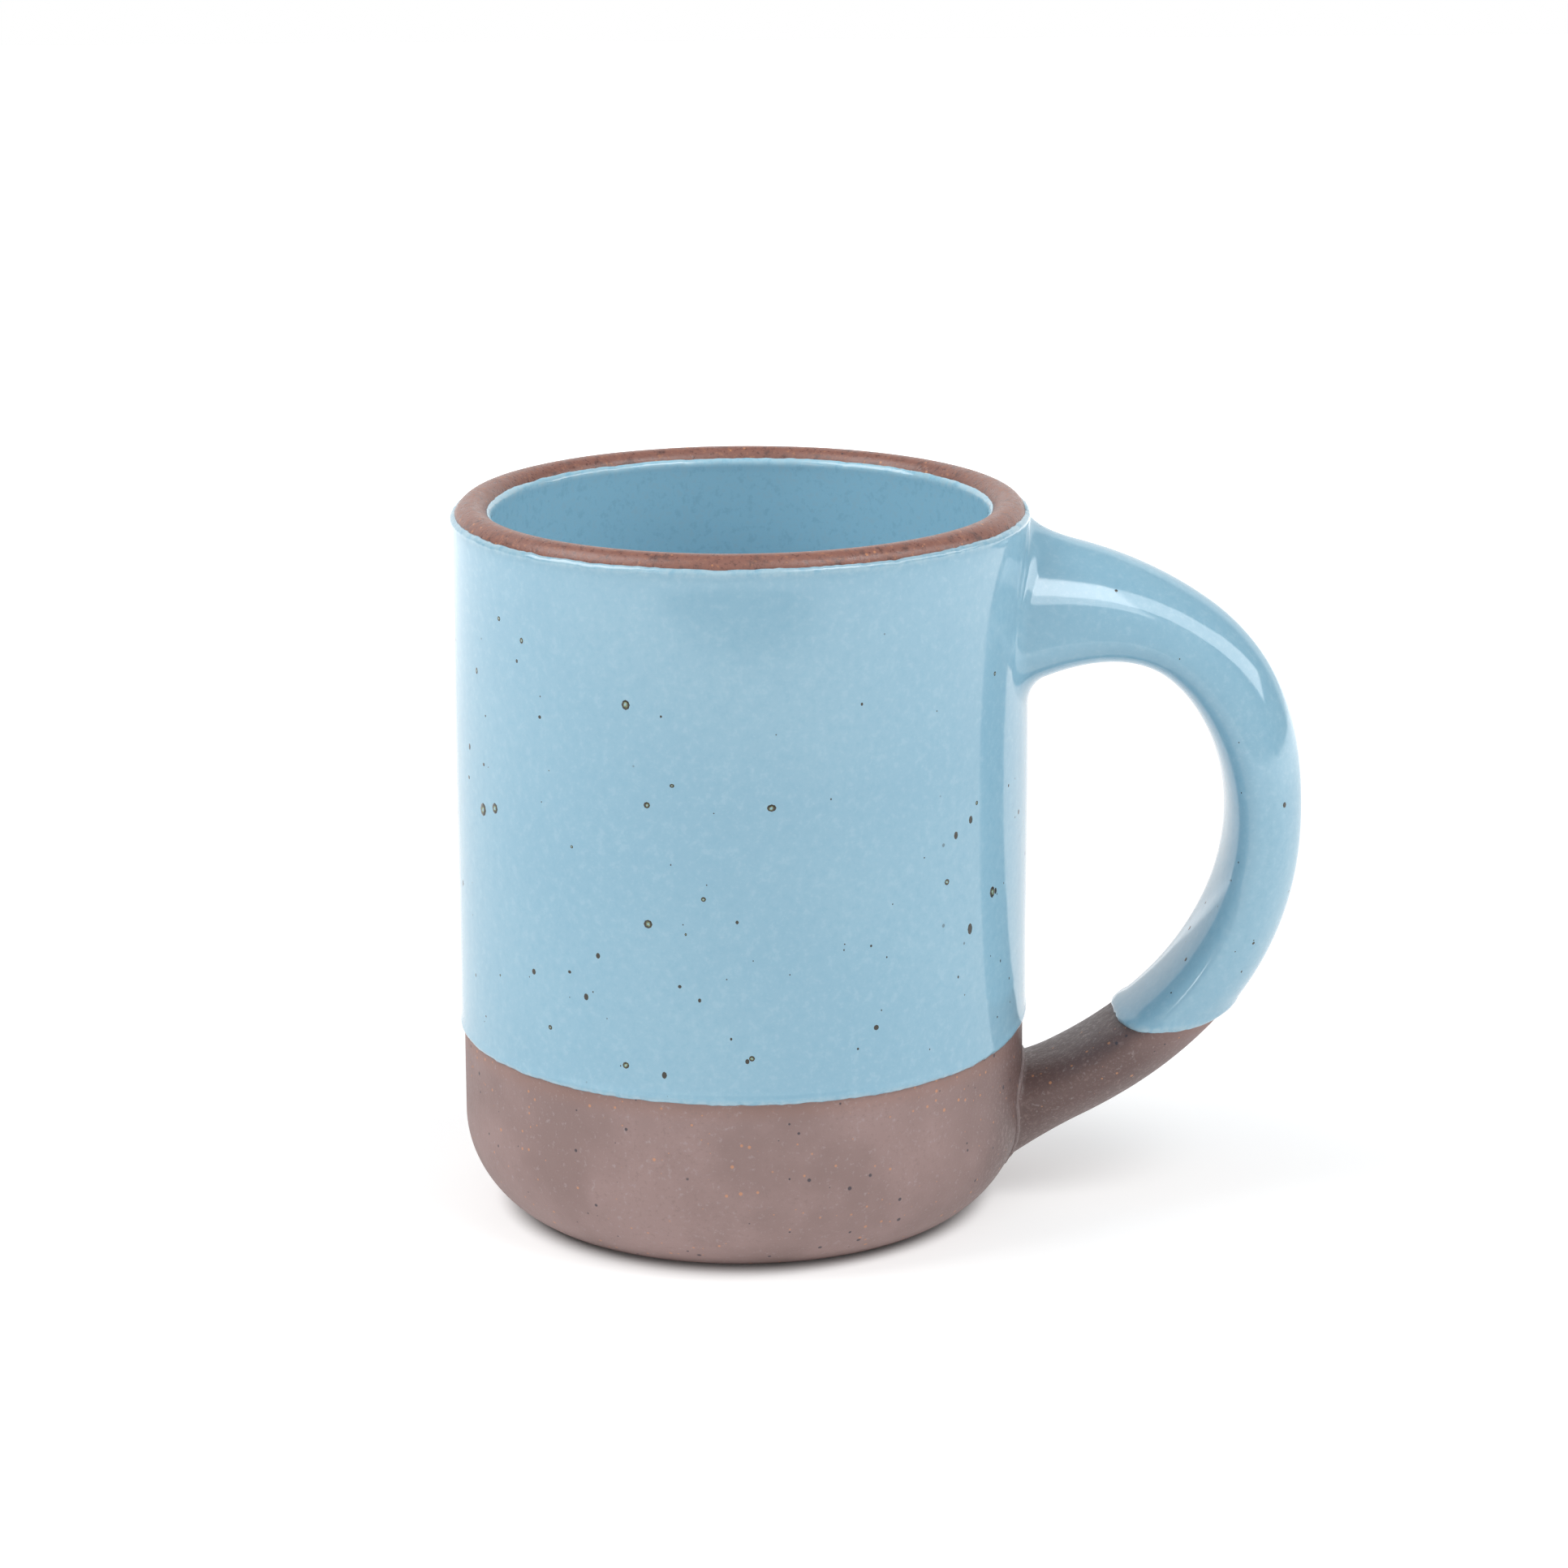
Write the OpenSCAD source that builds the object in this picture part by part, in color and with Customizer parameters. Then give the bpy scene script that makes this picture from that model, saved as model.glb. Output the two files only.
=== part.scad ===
// Stoneware mug: a bare clay cup with a pulled handle luted to its side, then dipped in glaze.
// Millimetres, +Z up. The origin is on the cup's axis, on the table. The handle points to +X.

/* [Cup] */
// Outer diameter of the bare clay cup
cup_d = 82.2; // [80:0.2:84]
// Height from the table to the top of the lip
cup_h = 105; // [100:1:112]
// Thickness of the clay wall
wall = 5; // [4.2:0.1:6]
// Thickness of the clay floor, from the foot to the inside
floor_t = 6.5; // [5:0.5:9]
// Radius of the outer curve that joins the wall to the foot
base_curve_r = 15.5; // [15:0.5:18]
// Height at which that curve starts to leave the wall
base_curve_h = 14; // [12:0.5:15]
// Radius of the curve between the inner wall and the inner floor
inner_curve_r = 13; // [8:1:18]
// Diameter of the shallow recess under the foot
recess_d = 52; // [44:1:56]
// Depth of that recess
recess_h = 1.2; // [0.6:0.1:2]

/* [Glaze] */
// Thickness of the glaze coats
glaze_t = 0.4; // [0.3:0.05:0.6]
// Height of the lower edge of the outside glaze
dip_line_h = 27; // [25:0.5:32]
// Height of bare clay at the top of the lip
bare_lip_h = 1.5; // [1.2:0.1:2]

/* [Handle] */
// Distance from the cup's axis to the middle of the grip
handle_reach = 76.3; // [74:0.1:78]
// Height of the grip's furthest point
grip_z = 57; // [55:1:60]
// Thickness of the grip at its furthest point, seen from the side
grip_t = 10.2; // [9:0.2:12]
// Thickness of the upper bend
upper_bend_t = 11.7; // [10:0.1:13]
// Thickness of the lower arm
lower_arm_t = 10.7; // [9:0.1:12]
// Width of the grip, across the handle's loop
grip_w = 18.2; // [15:0.2:20]
// Height of the middle of the upper root
upper_root_z = 89; // [88:0.5:90]
// Thickness of the upper root, seen from the side
upper_root_t = 22.4; // [20:0.2:24]
// Width of the upper root
upper_root_w = 27.2; // [20:0.2:28]
// Height of the middle of the lower root
lower_root_z = 11; // [11:0.5:13]
// Thickness of the lower root where it spreads onto the cup
lower_root_t = 17; // [14:0.5:18]
// Width of the lower root
lower_root_w = 17; // [15:0.5:20]
// How much wider the handle is towards the cup than on its outer side
egg = 0.38; // [0:0.02:0.45]
// Thickness of the layer of slip between the handle and the cup
slip_t = 0.6; // [0.4:0.1:1]
// How far the slip is squeezed out around the lower root
slip_bead = 0.8; // [0.4:0.1:1.2]

/* [Hidden] */
$fn = 96;

cup_r = cup_d / 2;
inner_r = cup_r - wall;
lip_r = wall / 2;
big = 200;

// The handle's middle line: two curves that meet at the furthest point of the grip.
upper_line = [[38, upper_root_z], [handle_reach - 7, upper_root_z + 3.6],
              [handle_reach, grip_z + 15], [handle_reach, grip_z]];
lower_line = [[handle_reach, grip_z], [handle_reach, grip_z - 17],
              [handle_reach - 10.4, lower_root_z + 9.8], [34, lower_root_z]];
upper_run = 0.2;     // share of the line over which the upper root tapers into the grip
lower_run = 0.08;    // share of the line over which the lower root spreads
bend_run = 0.23;     // share of the line over which the thickness changes beside the grip
section_power = 2.3; // 2 is an ellipse, more is squarer
rings = 48;
sides = 28;

clay = [0.45, 0.36, 0.35];
slip = [0.40, 0.31, 0.30];
glaze = [0.58, 0.74, 0.82];
liner = [0.46, 0.66, 0.75];

// The cup's whole outer shape, as a half section, grown by g.
module outer_half_section(g = 0) {
    arc_x = cup_r - base_curve_r;
    intersection() {
        union() {
            square([arc_x, cup_h]);
            translate([arc_x, base_curve_h]) circle(r = base_curve_r + g);
            translate([0, base_curve_h]) square([cup_r + g, cup_h - lip_r - base_curve_h]);
            translate([0, base_curve_h]) square([cup_r - lip_r, cup_h + g - base_curve_h]);
            translate([cup_r - lip_r, cup_h - lip_r]) circle(r = lip_r + g);
        }
        square([big, cup_h + g]);
    }
}

// The space inside the clay cup, as a half section, shrunk by g.
module inner_half_section(g = 0) {
    difference() {
        union() {
            square([inner_r - inner_curve_r, big]);
            translate([0, floor_t + inner_curve_r]) square([inner_r - g, big]);
            translate([inner_r - inner_curve_r, floor_t + inner_curve_r])
                circle(r = inner_curve_r - g);
        }
        translate([0, floor_t + g - big]) square([big, big]);
        translate([cup_r - lip_r, cup_h - lip_r]) circle(r = lip_r + g);
    }
}

module turned() {
    rotate_extrude($fn = 180) children();
}

// Everything within the cup's outer surface, grown by g: it trims what is joined to the cup.
module cup_solid(g = 0) {
    turned() outer_half_section(g);
}

function bezier(p, t) = pow(1 - t, 3) * p[0] + 3 * pow(1 - t, 2) * t * p[1]
                      + 3 * (1 - t) * t * t * p[2] + t * t * t * p[3];
function bezier_way(p, t) = pow(1 - t, 2) * (p[1] - p[0]) + 2 * (1 - t) * t * (p[2] - p[1])
                          + t * t * (p[3] - p[2]);
function on_line(u) = u < 0.5 ? bezier(upper_line, 2 * u) : bezier(lower_line, 2 * u - 1);
function way(u) = let (d = u < 0.5 ? bezier_way(upper_line, 2 * u) : bezier_way(lower_line, 2 * u - 1))
    d / norm(d);
function near_upper(u) = pow(max(0, 1 - u / upper_run), 2);
function near_lower(u) = pow(max(0, (u - 1 + lower_run) / lower_run), 2);
function blend(u, top, mid, low) = mid + (top - mid) * near_upper(u) + (low - mid) * near_lower(u);
function ease(t) = let (s = min(1, max(0, t))) s * s * (3 - 2 * s);
function plain_t(u) = grip_t + ((u < 0.5 ? upper_bend_t : lower_arm_t) - grip_t)
                    * ease(abs(u - 0.5) / bend_run);
function rounded(c) = sign(c) * pow(abs(c), 2 / section_power);

// One ring of the handle's skin: a squarish egg square to the middle line, grown by g.
function ring(u, g) = let (
        c = on_line(u),
        d = way(u),
        half_t = blend(u, upper_root_t, plain_t(u), lower_root_t) / 2 + g,
        half_w = blend(u, upper_root_w, grip_w, lower_root_w) / 2 + g
    ) [for (k = [0 : sides - 1]) let (
        out = half_t * rounded(cos(k * 360 / sides)),
        side = half_w * rounded(sin(k * 360 / sides)) * (1 - egg * cos(k * 360 / sides))
    ) [c.x - d.y * out, side, c.y + d.x * out]];

// The handle's loop as one closed skin, its ends inside the cup, grown by g.
module loop(g = 0) {
    points = [for (i = [0 : rings]) each ring(i / rings, g)];
    walls = [for (i = [0 : rings - 1], k = [0 : sides - 1]) let (
        a = i * sides + k,
        b = i * sides + (k + 1) % sides
    ) each [[a, b, a + sides], [b, b + sides, a + sides]]];
    first_end = [for (k = [sides - 1 : -1 : 0]) k];
    last_end = [for (k = [0 : sides - 1]) rings * sides + k];
    polyhedron(points, concat(walls, [first_end, last_end]));
}

// Keeps only what lies between two heights.
module between(low, high) {
    intersection() {
        children();
        translate([-big / 2, -big / 2, low]) cube([big, big, high - low]);
    }
}

module cup_body() {
    color(clay) difference() {
        cup_solid();
        turned() inner_half_section();
        translate([0, 0, -1]) cylinder(d = recess_d, h = recess_h + 1);
    }
}

module handle() {
    color(clay) difference() {
        loop();
        cup_solid(slip_t);
    }
}

// The slip between one root and the cup's wall, spread past the root by bead.
module slip_joint(bead, low, high) {
    color(slip) between(low, high) difference() {
        intersection() {
            loop(bead);
            cup_solid(slip_t);
        }
        cup_solid();
    }
}

module upper_slip_joint() {
    slip_joint(0, cup_h / 2, cup_h);
}

module lower_slip_joint() {
    slip_joint(slip_bead, 0, cup_h / 2);
}

module cup_glaze() {
    color(glaze) between(dip_line_h, cup_h - bare_lip_h) difference() {
        cup_solid(glaze_t);
        cup_solid();
        between(dip_line_h, cup_h) loop(glaze_t);
    }
}

module liner_glaze() {
    color(liner) between(0, cup_h - bare_lip_h) turned() difference() {
        inner_half_section();
        inner_half_section(glaze_t);
    }
}

module handle_glaze() {
    color(glaze) between(dip_line_h, cup_h) difference() {
        loop(glaze_t);
        loop();
        cup_solid(slip_t);
    }
}

cup_body();
handle();
upper_slip_joint();
lower_slip_joint();
cup_glaze();
liner_glaze();
handle_glaze();
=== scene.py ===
from math import cos, hypot, pi, radians, sin, sqrt

import bmesh
import bpy
from mathutils import Matrix, Vector, noise


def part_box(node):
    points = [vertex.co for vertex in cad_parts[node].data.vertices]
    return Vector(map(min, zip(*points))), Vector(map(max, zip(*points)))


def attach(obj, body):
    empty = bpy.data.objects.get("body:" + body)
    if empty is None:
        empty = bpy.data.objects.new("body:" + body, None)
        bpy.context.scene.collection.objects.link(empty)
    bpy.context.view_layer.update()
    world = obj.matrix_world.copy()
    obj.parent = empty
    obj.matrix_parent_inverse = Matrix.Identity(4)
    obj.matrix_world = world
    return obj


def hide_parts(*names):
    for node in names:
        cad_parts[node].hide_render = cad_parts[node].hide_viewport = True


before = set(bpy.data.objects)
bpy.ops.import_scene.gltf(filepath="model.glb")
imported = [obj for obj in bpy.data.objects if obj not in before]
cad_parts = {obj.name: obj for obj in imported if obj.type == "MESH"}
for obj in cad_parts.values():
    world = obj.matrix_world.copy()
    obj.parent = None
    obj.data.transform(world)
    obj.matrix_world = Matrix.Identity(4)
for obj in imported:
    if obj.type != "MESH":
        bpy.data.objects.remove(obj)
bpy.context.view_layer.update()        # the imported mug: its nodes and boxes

mm = 0.001               # every length below is in millimetres until a mesh is made


def corners(node):
    low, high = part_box(node)
    return low / mm, high / mm


bodyLow, bodyHigh = corners("cup_body")
coatLow, coatHigh = corners("cup_glaze")
linerLow, linerHigh = corners("liner_glaze")
loopLow, loopHigh = corners("handle")

# the cup's clay
cup = {
    "radius": bodyHigh.y,
    "height": bodyHigh.z,
    "wall": bodyHigh.y - linerHigh.y,
    "floor": linerLow.z,
    "baseCurve": 15.5,        # radius of the outer curve into the foot
    "baseCurveHeight": 14.0,  # where that curve leaves the wall
    "innerCurve": 13.0,
    "footRounding": 0.7,
    "recessRadius": 26.0,
    "recessDepth": 1.2,
    "recessCorner": 0.5,      # roundings inside the recess and on its rim
    "recessRim": 0.4,
    "segments": 320,
}
# the glaze coats
coat = {
    "thickness": coatHigh.y - bodyHigh.y,
    "dipLine": coatLow.z,
    "lipLine": coatHigh.z,
    "roll": 0.20,             # how much the glaze swells where it stops
    "rollAt": 0.75,           # how far from its edge the swelling is highest
    "rollWidth": 1.5,
    "edge": 0.8,              # width over which the edge is rounded
    "linerEdge": 1.9,         # and the same inside, where the glaze has run down from the lip
    "rise": 1.5,              # how much higher the dip line is beside the handle
    "riseOutside": 1.7,       # and on the handle's outer side
    "riseInside": 0.5,        # and on the side towards the cup
    "buried": -0.05,          # how far its hidden back lies within the clay
    "lipBend": 20,            # degrees that the outer coat follows the lip's curve
    "linerBend": 26,          # degrees that the inner coat does
    "ragged": 0.16,           # wander of the glaze's edge, up and down
}

lipRadius = cup["wall"] / 2
lipMiddle = (cup["radius"] - lipRadius, cup["height"] - lipRadius)

# how far the thrown form strays from true, and over what distance
hand = {"sway": 0.16, "swayOver": 34, "ripple": 0.03, "rippleOver": 11, "fadeHeight": 12}
rippleStart = Vector((7, 3, 5))
noise.seed_set(4)        # the same wander in every run


def handMade(p):
    # a slow wander, the same for clay and glaze, and none at the table
    fade = min(1.0, max(0.0, p.z / hand["fadeHeight"]))
    drift = noise.noise_vector(p / hand["swayOver"]) * hand["sway"] \
        + noise.noise_vector(p / hand["rippleOver"] + rippleStart) * hand["ripple"]
    return p + Vector((drift.x, drift.y, drift.z * 0.6)) * fade


def meshFromRings(name, rings, startPole=None, endPole=None, joined=False):
    # rings of equal length, skinned in order; poles close the ends, or the last ring joins the first
    points = [handMade(Vector(p)) for ring in rings for p in ring]
    count = len(rings[0])
    faces = []
    for i in range(len(rings) if joined else len(rings) - 1):
        a, b = i * count, (i + 1) % len(rings) * count
        for k in range(count):
            n = (k + 1) % count
            faces.append((a + k, a + n, b + n, b + k))
    if startPole is not None:
        points.append(handMade(Vector(startPole)))
        faces += [(len(points) - 1, (k + 1) % count, k) for k in range(count)]
    if endPole is not None:
        points.append(handMade(Vector(endPole)))
        last = (len(rings) - 1) * count
        faces += [(len(points) - 1, last + k, last + (k + 1) % count) for k in range(count)]
    return meshObject(name, [p * mm for p in points], faces)


def meshObject(name, points, faces):
    mesh = bpy.data.meshes.new(name)
    mesh.from_pydata(points, [], faces)
    work = bmesh.new()
    work.from_mesh(mesh)
    bmesh.ops.recalc_face_normals(work, faces=work.faces)
    work.to_mesh(mesh)
    work.free()
    mesh.shade_smooth()
    piece = bpy.data.objects.new(name, mesh)
    bpy.context.scene.collection.objects.link(piece)
    return piece


def arc(middle, radius, start, end, steps):
    # points (r, z) along an arc, angles in degrees from the outward direction
    turns = [radians(start + (end - start) * i / steps) for i in range(steps + 1)]
    return [(middle[0] + radius * cos(a), middle[1] + radius * sin(a)) for a in turns]


def line(start, end, steps):
    return [(start[0] + (end[0] - start[0]) * i / steps,
             start[1] + (end[1] - start[1]) * i / steps) for i in range(1, steps)]


def cupAngles():
    return [2 * pi * k / cup["segments"] for k in range(cup["segments"])]


def turned(name, profile, **ends):
    rings = [[(r * cos(a), r * sin(a), z) for a in cupAngles()] for r, z in profile]
    return meshFromRings(name, rings, **ends)


waves = ((5, 0, 0.8), (19, 4, 0.7), (70, 9, 0.8))   # quickness, seed and share: slow, quick and nibbled


def wander(angle, seed, size):
    # a ragged edge round the cup, repeating cleanly after one turn
    return size * sum(share * noise.noise(Vector((cos(angle) * quick, sin(angle) * quick, seed + step)))
                      for quick, step, share in waves)


def outerRadius(z, grow=0.0):
    # radius of the cup's outer surface at a height, grown outward
    if z < cup["baseCurveHeight"]:
        reach = (cup["baseCurve"] + grow) ** 2 - (cup["baseCurveHeight"] - z) ** 2
        return cup["radius"] - cup["baseCurve"] + sqrt(max(0.0, reach))
    if z > lipMiddle[1]:
        return lipMiddle[0] + sqrt(max(0.0, (lipRadius + grow) ** 2 - (z - lipMiddle[1]) ** 2))
    return cup["radius"] + grow


def makeCup():
    r = cup["radius"]
    turn = cup["footRounding"]
    arcMiddle = (r - cup["baseCurve"], cup["baseCurveHeight"])
    footEdge = arcMiddle[0] + sqrt(cup["baseCurve"] ** 2 - arcMiddle[1] ** 2)
    innerMiddle = (r - cup["wall"] - cup["innerCurve"], cup["floor"] + cup["innerCurve"])
    depth, corner, rim = cup["recessDepth"], cup["recessCorner"], cup["recessRim"]
    recessIn, recessOut = cup["recessRadius"] - 0.8, cup["recessRadius"] + 0.6
    profile = line((0, depth), (recessIn, depth), 8)
    profile += arc((recessIn, depth - corner), corner, 90, 20, 4)
    profile += arc((recessOut, rim), rim, 200, 270, 4)
    profile += line((recessOut, 0), (footEdge - 1.6 * turn, 0), 4)
    profile += arc((footEdge - 1.6 * turn, turn), turn, 270, 306, 4)
    profile += arc(arcMiddle, cup["baseCurve"], -60.5, 0, 30)
    profile += line((r, arcMiddle[1]), (r, lipMiddle[1]), 40)
    profile += arc(lipMiddle, lipRadius, 0, 180, 28)
    profile += line((r - cup["wall"], lipMiddle[1]), (r - cup["wall"], innerMiddle[1]), 30)
    profile += arc(innerMiddle, cup["innerCurve"], 0, -90, 16)
    profile += line((innerMiddle[0], cup["floor"]), (0, cup["floor"]), 6)
    return turned("cup_clay", profile, startPole=(0, 0, depth), endPole=(0, 0, cup["floor"]))


def coatGrow(fromLow, fromHigh, edge=coat["edge"]):
    # thickness of the glaze at a distance from its lower and its upper edge
    t, width = coat["thickness"], coat["rollWidth"]
    grow = t
    for away in (fromLow, fromHigh):
        swell = coat["roll"] * max(0.0, 1 - abs(away - coat["rollAt"]) / width) ** 2
        grow += swell
        if away < edge:
            grow = min(grow, (t + swell) * sqrt(max(0.0, 1 - (1 - away / edge) ** 2)))
    return grow


def outsideCoatRing(share, angle):
    # one point of the outer coat's face, share 0 at the dip line and 1 at the lip line
    low = coat["dipLine"] + wander(angle, 2.0, coat["ragged"]) + coat["rise"] * max(0.0, cos(angle)) ** 10
    bend = radians(coat["lipBend"] + 4 * wander(angle, 6.0, 1.0))
    straight = lipMiddle[1] - low
    curved = (lipRadius + coat["thickness"]) * bend
    along = share * (straight + curved)
    grow = coatGrow(along, straight + curved - along)
    if along <= straight:
        return cup["radius"] + grow, low + along
    turn = (along - straight) / (lipRadius + coat["thickness"])
    return lipMiddle[0] + (lipRadius + grow) * cos(turn), lipMiddle[1] + (lipRadius + grow) * sin(turn)


def edgeShares(length, edge, steps):
    # shares along a coat, close together within edge of both ends
    near = [edge * (i / 9) ** 2 / length for i in range(10)]
    middle = [near[-1] + (1 - 2 * near[-1]) * i / steps for i in range(1, steps)]
    return near + middle + [1 - n for n in reversed(near)]


def makeOutsideCoat():
    shares = edgeShares(78.0, 2.2, 44)
    angles = cupAngles()
    face = []
    for share in shares:
        ring = []
        for angle in angles:
            r, z = outsideCoatRing(share, angle)
            ring.append((r * cos(angle), r * sin(angle), z))
        face.append(ring)
    back = []
    for share in (0.999, 0.97, 0.6, 0.3, 0.001):
        ring = []
        for angle in angles:
            _, z = outsideCoatRing(share, angle)
            r = outerRadius(z, coat["buried"])
            ring.append((r * cos(angle), r * sin(angle), z))
        back.append(ring)
    return meshFromRings("cup_coat", face + back, joined=True), (10, len(face) - 12)


def makeLiner():
    t, buried = coat["thickness"], coat["buried"]
    inner = cup["radius"] - cup["wall"]
    bendMiddle = (inner - cup["innerCurve"], cup["floor"] + cup["innerCurve"])
    straight = lipMiddle[1] - bendMiddle[1]
    angles = cupAngles()

    def linerPoint(share, angle, grow):
        # share 0 at the lip line and 1 at the foot of the straight wall
        bend = radians(coat["linerBend"] + 3 * wander(angle, 12.0, 1.0))
        curved = (lipRadius + t) * bend
        along = share * (straight + curved)
        swell = coatGrow(50.0, along, coat["linerEdge"]) if grow > 0 else grow
        if along < curved:
            turn = bend - along / (lipRadius + t)
            return (lipMiddle[0] - (lipRadius + swell) * cos(turn),
                    lipMiddle[1] + (lipRadius + swell) * sin(turn))
        return inner - swell, lipMiddle[1] - (along - curved)

    def ringAt(share, grow):
        ring = []
        for angle in angles:
            r, z = linerPoint(share, angle, grow)
            ring.append((r * cos(angle), r * sin(angle), z))
        return ring

    def curveRings(grow):
        rings = []
        for r, z in arc(bendMiddle, cup["innerCurve"] - grow, 0, -90, 18)[1:] + \
                line((bendMiddle[0], cup["floor"] + grow), (0, cup["floor"] + grow), 8):
            rings.append([(r * cos(a), r * sin(a), z) for a in angles])
        return rings

    shares = edgeShares(straight, 2.2, 34)
    face = [ringAt(s, 1.0) for s in shares[:-9]] + [ringAt(1.0, 1.0)] + curveRings(t)
    back = [ringAt(s, buried) for s in (0.001, 0.03, 0.3, 0.7, 1.0)] + curveRings(buried)
    rings = list(reversed(face)) + back
    return meshFromRings("liner_coat", rings, startPole=(0, 0, cup["floor"] + t),
                         endPole=(0, 0, cup["floor"] + buried)), (0, len(face) - 12)


# the handle's loop, a squarish egg swept along two curves
loop = {
    "reach": loopHigh.x - 5.1,   # to the middle of the grip
    "gripHeight": 57.0,
    "gripThickness": 10.2,
    "gripWidth": 18.2,
    "bendThickness": 11.7,
    "armThickness": 10.7,
    "bendRun": 0.23,
    "upperHeight": 89.0,
    "upperThickness": 22.4,
    "upperWidth": 27.2,
    "upperRun": 0.20,
    "lowerHeight": 11.0,
    "lowerThickness": 17.0,
    "lowerWidth": 17.0,
    "lowerRun": 0.08,
    "egg": 0.38,                 # wider towards the cup than outside
    "power": 2.3,                # 2 is an ellipse, more is squarer
    "sides": 96,
    "stations": 120,
}


def bezier(p, t):
    return (1 - t) ** 3 * p[0] + 3 * (1 - t) ** 2 * t * p[1] + 3 * (1 - t) * t * t * p[2] + t ** 3 * p[3]


def bezierWay(p, t):
    return (1 - t) ** 2 * (p[1] - p[0]) + 2 * (1 - t) * t * (p[2] - p[1]) + t * t * (p[3] - p[2])


# its middle line, as two curves that meet at the furthest point of the grip
upperLine = [Vector(p) for p in (
    (38, loop["upperHeight"]), (loop["reach"] - 7, loop["upperHeight"] + 3.6),
    (loop["reach"], loop["gripHeight"] + 15), (loop["reach"], loop["gripHeight"]))]
lowerLine = [Vector(p) for p in (
    (loop["reach"], loop["gripHeight"]), (loop["reach"], loop["gripHeight"] - 17),
    (loop["reach"] - 10.4, loop["lowerHeight"] + 9.8), (34, loop["lowerHeight"]))]


def ease(t):
    t = min(1.0, max(0.0, t))
    return t * t * (3 - 2 * t)


def rounded(c):
    return (1 if c > 0 else -1) * abs(c) ** (2 / loop["power"])


def loopPoint(u, angle, grow=0.0):
    # a point on the handle's skin: u runs from the upper root to the lower one, angle 0 is the outer side
    half, t = (upperLine, 2 * u) if u < 0.5 else (lowerLine, 2 * u - 1)
    middle, way = bezier(half, t), bezierWay(half, t).normalized()
    top = max(0.0, 1 - u / loop["upperRun"]) ** 2
    low = max(0.0, (u - 1 + loop["lowerRun"]) / loop["lowerRun"]) ** 2
    beside = loop["bendThickness"] if u < 0.5 else loop["armThickness"]
    share = ease(abs(u - 0.5) / loop["bendRun"])
    plain = loop["gripThickness"] + (beside - loop["gripThickness"]) * share
    thick = plain + (loop["upperThickness"] - plain) * top + (loop["lowerThickness"] - plain) * low
    wide = loop["gripWidth"] + (loop["upperWidth"] - loop["gripWidth"]) * top \
        + (loop["lowerWidth"] - loop["gripWidth"]) * low
    out = (thick / 2 + grow) * rounded(cos(angle))
    side = (wide / 2 + grow) * rounded(sin(angle)) * (1 - loop["egg"] * cos(angle))
    return Vector((middle.x - way.y * out, side, middle.y + way.x * out))


def meetsCup(angle, near, far, grow):
    # where one long line of the handle's skin passes through the cup's surface
    for _ in range(40):
        u = (near + far) / 2
        p = loopPoint(u, angle, grow)
        if hypot(p.x, p.y) < outerRadius(p.z, grow):
            near = u
        else:
            far = u
    return (near + far) / 2


def onCup(p, grow):
    # moves a point straight out or in onto the cup's surface
    share = outerRadius(p.z, grow) / hypot(p.x, p.y)
    return Vector((p.x * share, p.y * share, p.z))


def loopLength(u, v, angle, grow):
    return (loopPoint(u, angle, grow) - loopPoint(v, angle, grow)).length


def flangeRow(angle, inside, outside, grow, reach, steps, spread=1.0):
    # a smooth web from the cup's surface to the handle's skin along one long line, and where it ends;
    # its first two points dive just under the cup's surface, so that no edge shows there
    cut = meetsCup(angle, inside, outside, grow)
    edge = loopPoint(cut, angle, grow)
    normal = Vector((edge.x, edge.y, 0)).normalized()
    away = edge - (loopPoint(cut, 0.0) + loopPoint(cut, pi)) / 2
    away = (away - normal * away.dot(normal)).normalized()
    foot = onCup(edge + away * reach, grow - 0.004)
    along = (onCup(edge + away * (reach - 0.2), grow) - foot).normalized()
    leave, step = cut, (outside - inside) * 0.002
    while loopLength(cut, leave, angle, grow) < reach * spread:
        leave += step
    start = loopPoint(leave, angle, grow)
    down = (loopPoint(leave - step, angle, grow) - start).normalized()
    pull = reach * 0.62
    curve = [foot, foot + along * pull, start + down * pull * spread, start]
    buried = [onCup(edge + away * (reach + 1.0), grow - 0.07),
              onCup(edge + away * (reach + 0.5), grow - 0.025)]
    return buried + [bezier(curve, i / steps) for i in range(steps + 1)], leave


# the glaze fills the upper root's corner: tight on both sides, wider above and most below
upperWeb = {"beside": 1.7, "above": 1.3, "below": 1.8, "spread": 1.6}
lowerWeb = {"reach": 1.0, "uneven": 0.25}


def coatReach(angle):
    up, down = max(0.0, cos(angle)) ** 2, max(0.0, -cos(angle)) ** 2
    return upperWeb["beside"] + upperWeb["above"] * up + upperWeb["below"] * down


def dipEnd(angle, grow):
    # where one long line of the handle passes the dip line on the way down
    level = coat["dipLine"] + wander(angle * 0.5, 21.0, coat["ragged"]) * 0.8 \
        + coat["riseOutside"] * max(0.0, cos(angle)) ** 2 + coat["riseInside"] * max(0.0, -cos(angle)) ** 2
    near, far = 0.5, 0.95
    for _ in range(40):
        u = (near + far) / 2
        if loopPoint(u, angle, grow).z > level:
            near = u
        else:
            far = u
    return (near + far) / 2


def loopAngles():
    return [2 * pi * k / loop["sides"] for k in range(loop["sides"])]


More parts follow.
